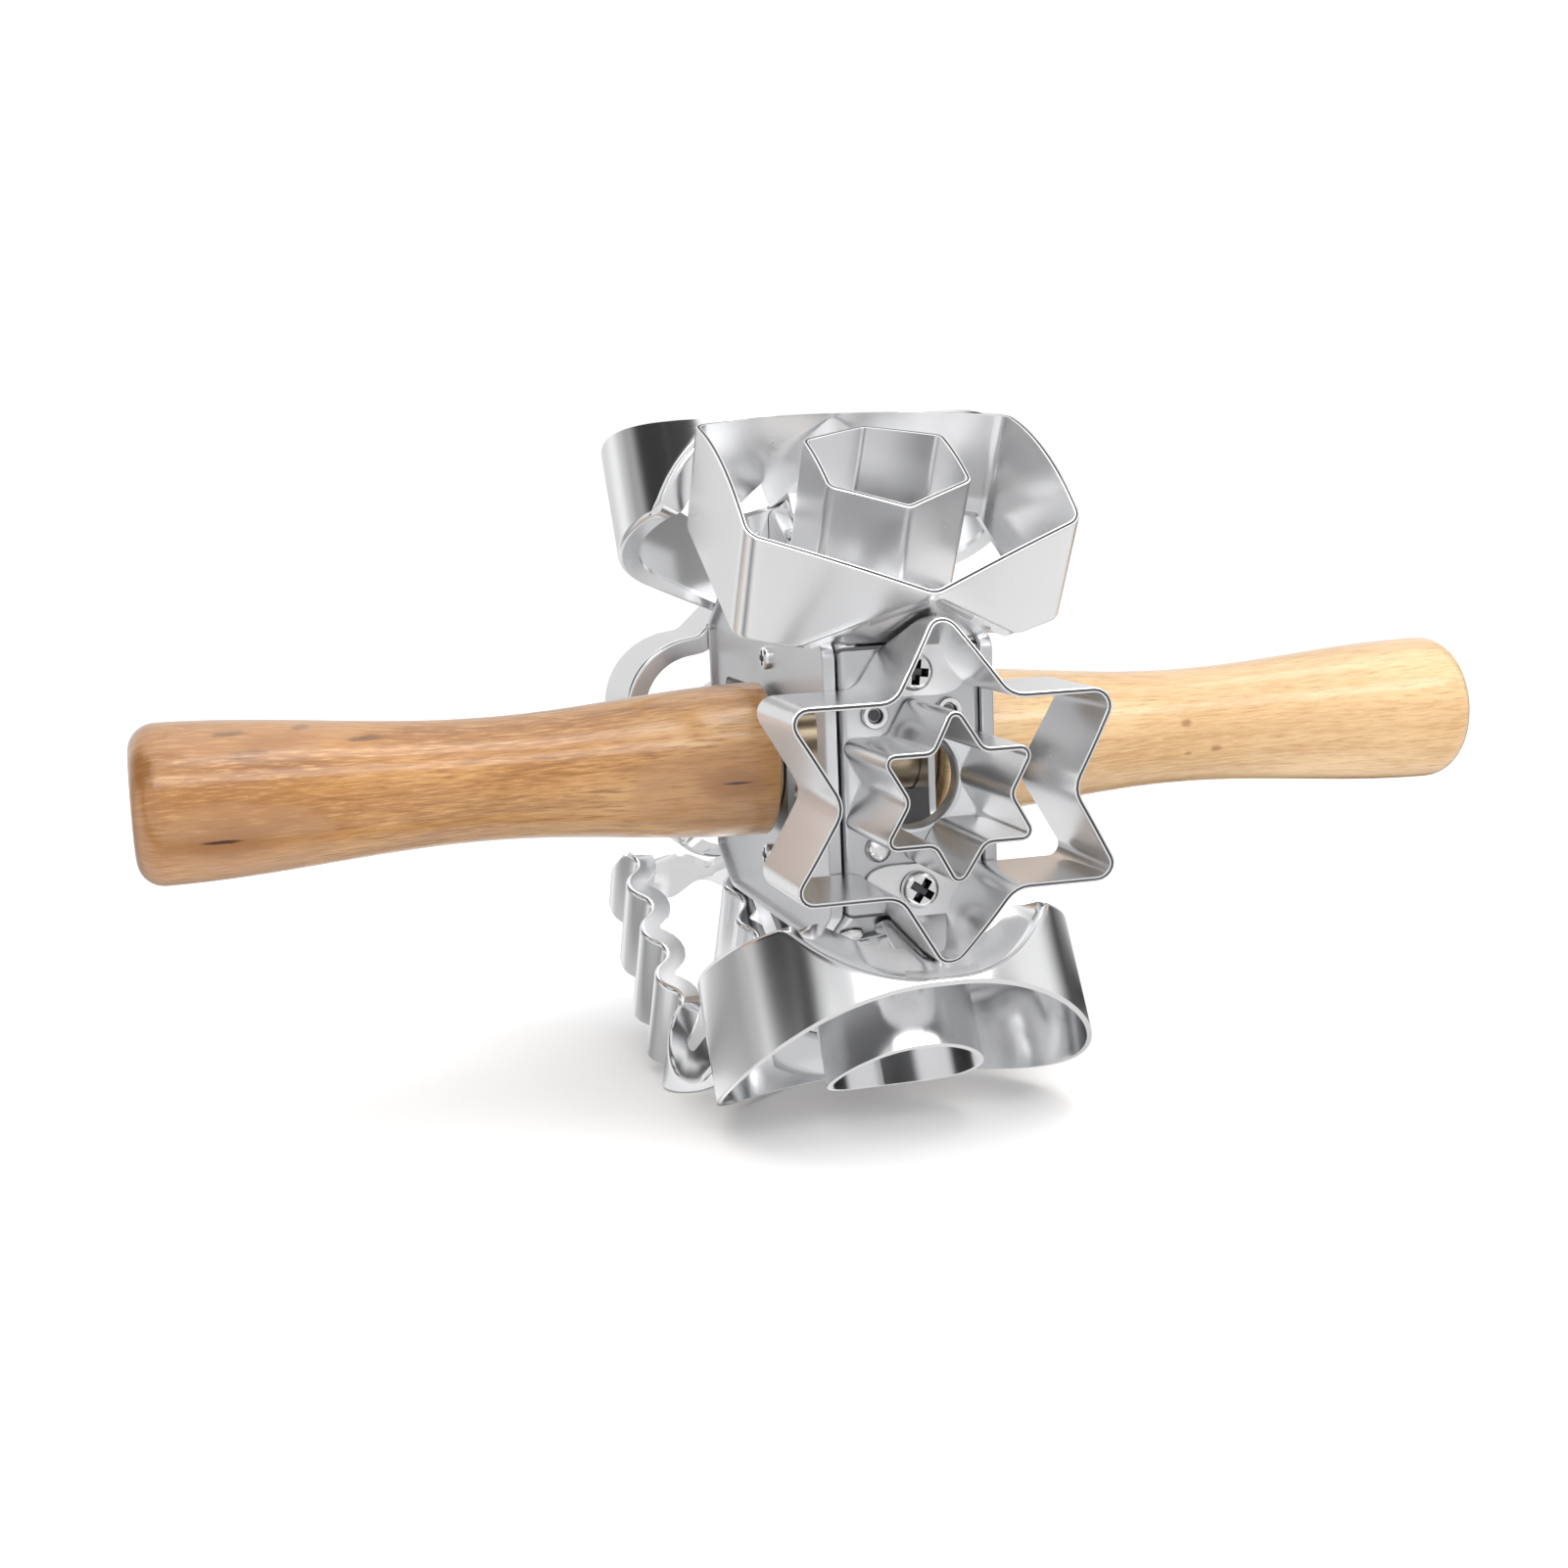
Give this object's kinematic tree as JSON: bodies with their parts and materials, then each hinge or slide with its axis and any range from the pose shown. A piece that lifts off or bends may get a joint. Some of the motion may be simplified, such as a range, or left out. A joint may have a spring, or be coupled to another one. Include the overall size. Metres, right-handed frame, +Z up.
{
  "type": "doughnut cutter roller",
  "caption": "Hand roller whose shaped cutter bands, with smaller ones inside, stand round a hub that turns on a rod between two wooden handles, cutting ring doughnuts from dough.",
  "frame": {"origin": "middle of the rod, at the centre of the roller", "axes": "+X along the rod towards the right handle, -Y out through the star cutter, +Z up"},
  "size_m": [0.294, 0.144, 0.144],
  "materials": {
    "band_steel": "polished",
    "hub_steel": "satin",
    "fastener_steel": "polished",
    "bearing_bronze": "satin",
    "honey_wood": "varnished",
    "pale_wood": "varnished"
  },
  "bodies": {
    "holder": {"axle_rod": "hub_steel", "handle_right": "pale_wood", "handle_left": "honey_wood"},
    "roller": {"bearing_sleeve": "bearing_bronze", "end_plate_right": "hub_steel", "end_plate_left": "hub_steel", "star_bridge": "hub_steel", "star_outer_band": "band_steel", "star_inner_band": "band_steel", "star_screw_1": "fastener_steel", "star_screw_2": "fastener_steel", "star_rivet_1": "fastener_steel", "star_rivet_2": "fastener_steel", "star_rivet_3": "fastener_steel", "star_rivet_4": "fastener_steel", "hexagon_bridge": "hub_steel", "hexagon_outer_band": "band_steel", "hexagon_inner_band": "band_steel", "hexagon_screw_1": "fastener_steel", "hexagon_screw_2": "fastener_steel", "hexagon_rivet_1": "fastener_steel", "hexagon_rivet_2": "fastener_steel", "hexagon_rivet_3": "fastener_steel", "hexagon_rivet_4": "fastener_steel", "heart_bridge": "hub_steel", "heart_outer_band": "band_steel", "heart_inner_band": "band_steel", "heart_screw_1": "fastener_steel", "heart_screw_2": "fastener_steel", "heart_rivet_1": "fastener_steel", "heart_rivet_2": "fastener_steel", "heart_rivet_3": "fastener_steel", "heart_rivet_4": "fastener_steel", "flower_bridge": "hub_steel", "flower_outer_band": "band_steel", "flower_inner_band": "band_steel", "flower_screw_1": "fastener_steel", "flower_screw_2": "fastener_steel", "flower_rivet_1": "fastener_steel", "flower_rivet_2": "fastener_steel", "flower_rivet_3": "fastener_steel", "flower_rivet_4": "fastener_steel", "scallop_bridge": "hub_steel", "scallop_outer_band": "band_steel", "scallop_inner_band": "band_steel", "scallop_screw_1": "fastener_steel", "scallop_screw_2": "fastener_steel", "scallop_rivet_1": "fastener_steel", "scallop_rivet_2": "fastener_steel", "scallop_rivet_3": "fastener_steel", "scallop_rivet_4": "fastener_steel", "ring_bridge": "hub_steel", "ring_outer_band": "band_steel", "ring_inner_band": "band_steel", "ring_screw_1": "fastener_steel", "ring_screw_2": "fastener_steel", "ring_rivet_1": "fastener_steel", "ring_rivet_2": "fastener_steel", "ring_rivet_3": "fastener_steel", "ring_rivet_4": "fastener_steel"}
  },
  "joints": [
    {"name": "roller_spin", "type": "hinge", "parent": "holder", "child": "roller", "pos_m": [0, 0, 0], "axis": [1, 0, 0], "continuous": true}
  ]
}
